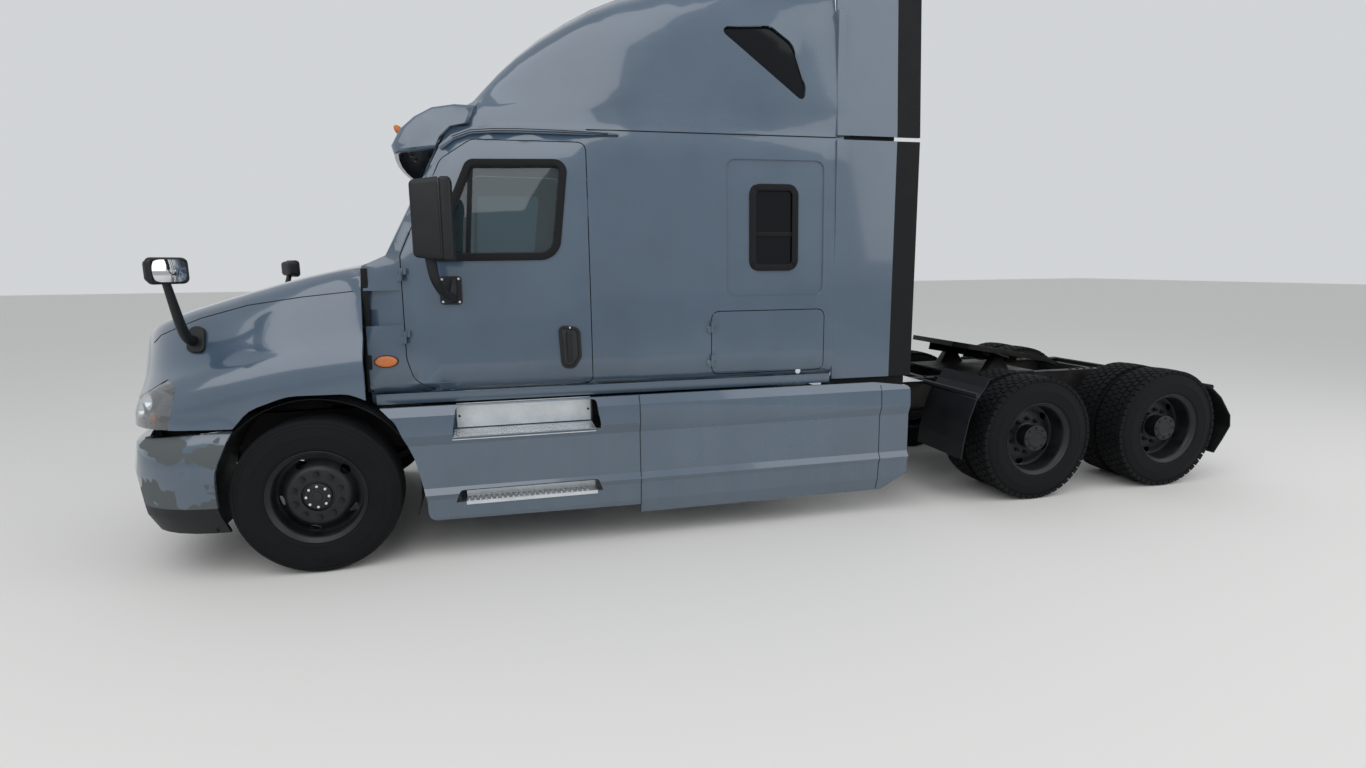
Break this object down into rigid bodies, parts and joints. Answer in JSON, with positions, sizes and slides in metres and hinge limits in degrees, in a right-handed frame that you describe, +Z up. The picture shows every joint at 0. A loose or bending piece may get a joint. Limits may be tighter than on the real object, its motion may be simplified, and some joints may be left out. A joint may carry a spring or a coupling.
{
  "type": "semi truck tractor unit",
  "caption": "Bonneted semi truck tractor unit with a raised-roof sleeper cab, side skirts, fifth wheel and twin drive axles; hood, doors, lids, steering and wheels move.",
  "frame": {"origin": "on the ground under the middle of the vehicle's box", "axes": "X forward, Y to the driver's left, Z up"},
  "size_m": [8.65, 3.12, 3.9836],
  "materials": {
    "paint": "glossy mid grey paint with wear",
    "black_plastic": "textured black plastic",
    "frame_steel": "satin black with road dust",
    "rubber": "dusty black rubber",
    "tyre": "dusty tyre rubber",
    "glass": "dark tinted glass",
    "lamp": "clear moulded lens",
    "aluminium": "bright aluminium",
    "cloth": "dark grey woven cloth"
  },
  "bodies": {
    "chassis": {"bumper": "paint", "bunk": "cloth", "cab_back": "paint", "cab_floor": "frame_steel", "cab_front": "paint", "cab_side_left": "paint", "cab_side_right": "paint", "dashboard": "black_plastic", "drive_axle_1": "frame_steel", "drive_axle_2": "frame_steel", "extender_left": "paint", "extender_right": "paint", "fifth_wheel_base": "frame_steel", "frame_ladder": "frame_steel", "front_axle": "frame_steel", "fuel_tank_left": "aluminium", "fuel_tank_right": "aluminium", "powertrain": "frame_steel", "quarter_fender_left": "black_plastic", "quarter_fender_right": "black_plastic", "roof_cap": "paint", "roof_window_left": "glass", "roof_window_right": "glass", "seat_left": "cloth", "seat_right": "cloth", "skirt_front_left": "paint", "skirt_front_right": "paint", "skirt_rear_left": "paint", "skirt_rear_right": "paint", "sleeper_window_left": "glass", "sleeper_window_right": "glass", "sun_visor": "paint", "tail_bar": "rubber", "windscreen": "glass"},
    "hood": {"hood": "paint", "grille": "black_plastic", "headlamp_left": "lamp", "headlamp_right": "lamp", "hood_mirror_left": "black_plastic", "hood_mirror_right": "black_plastic"},
    "door_left": {"door_left": "paint", "door_glass_left": "glass", "door_mirror_left": "black_plastic"},
    "baggage_door_left": {"baggage_door_left": "paint"},
    "knuckle_left": {"knuckle_left": "frame_steel"},
    "wheel_front_left": {"tyre_front_left": "tyre", "wheel_front_left": "frame_steel"},
    "twins_1_left": {"twin_wheel_1_left": "tyre"},
    "twins_2_left": {"twin_wheel_2_left": "tyre"},
    "door_right": {"door_right": "paint", "door_glass_right": "glass", "door_mirror_right": "black_plastic"},
    "baggage_door_right": {"baggage_door_right": "paint"},
    "knuckle_right": {"knuckle_right": "frame_steel"},
    "wheel_front_right": {"tyre_front_right": "tyre", "wheel_front_right": "frame_steel"},
    "twins_1_right": {"twin_wheel_1_right": "tyre"},
    "twins_2_right": {"twin_wheel_2_right": "tyre"},
    "fifth_wheel": {"fifth_wheel": "frame_steel"}
  },
  "joints": [
    {"name": "hood_tilt", "type": "hinge", "parent": "chassis", "child": "hood", "pos_m": [4.165, 0, 0.96], "axis": [0, 1, 0], "range_deg": [0, 65]},
    {"name": "door_left_swing", "type": "hinge", "parent": "chassis", "child": "door_left", "pos_m": [2.493, 1.112, 1.5], "axis": [0, 0, -1], "range_deg": [0, 70]},
    {"name": "baggage_door_left_swing", "type": "hinge", "parent": "chassis", "child": "baggage_door_left", "pos_m": [0.441, 1.15, 1.27], "axis": [0, 0, -1], "range_deg": [0, 95]},
    {"name": "door_right_swing", "type": "hinge", "parent": "chassis", "child": "door_right", "pos_m": [2.493, -1.112, 1.5], "axis": [0, 0, 1], "range_deg": [0, 70]},
    {"name": "baggage_door_right_swing", "type": "hinge", "parent": "chassis", "child": "baggage_door_right", "pos_m": [0.441, -1.15, 1.27], "axis": [0, 0, 1], "range_deg": [0, 95]},
    {"name": "fifth_wheel_tilt", "type": "hinge", "parent": "chassis", "child": "fifth_wheel", "pos_m": [-2.535, 0, 1.075], "axis": [0, 1, 0], "range_deg": [0, 20]},
    {"name": "steer_left", "type": "hinge", "parent": "chassis", "child": "knuckle_left", "pos_m": [3.075, 0.86, 0.51], "axis": [0, 0, 1], "range_deg": [-35, 35]},
    {"name": "spin_front_left", "type": "hinge", "parent": "knuckle_left", "child": "wheel_front_left", "pos_m": [3.075, 1.0725, 0.51], "axis": [0, 1, 0], "continuous": true},
    {"name": "spin_1_left", "type": "hinge", "parent": "chassis", "child": "twins_1_left", "pos_m": [-2.328, 0.93, 0.51], "axis": [0, 1, 0], "continuous": true},
    {"name": "spin_2_left", "type": "hinge", "parent": "chassis", "child": "twins_2_left", "pos_m": [-3.648, 0.93, 0.51], "axis": [0, 1, 0], "continuous": true},
    {"name": "steer_right", "type": "hinge", "parent": "chassis", "child": "knuckle_right", "pos_m": [3.075, -0.86, 0.51], "axis": [0, 0, 1], "range_deg": [-35, 35]},
    {"name": "spin_front_right", "type": "hinge", "parent": "knuckle_right", "child": "wheel_front_right", "pos_m": [3.075, -1.0725, 0.51], "axis": [0, 1, 0], "continuous": true},
    {"name": "spin_1_right", "type": "hinge", "parent": "chassis", "child": "twins_1_right", "pos_m": [-2.328, -0.93, 0.51], "axis": [0, 1, 0], "continuous": true},
    {"name": "spin_2_right", "type": "hinge", "parent": "chassis", "child": "twins_2_right", "pos_m": [-3.648, -0.93, 0.51], "axis": [0, 1, 0], "continuous": true}
  ],
  "couplings": [
    {"joint": "steer_right", "follows": "steer_left", "ratio": 1}
  ]
}
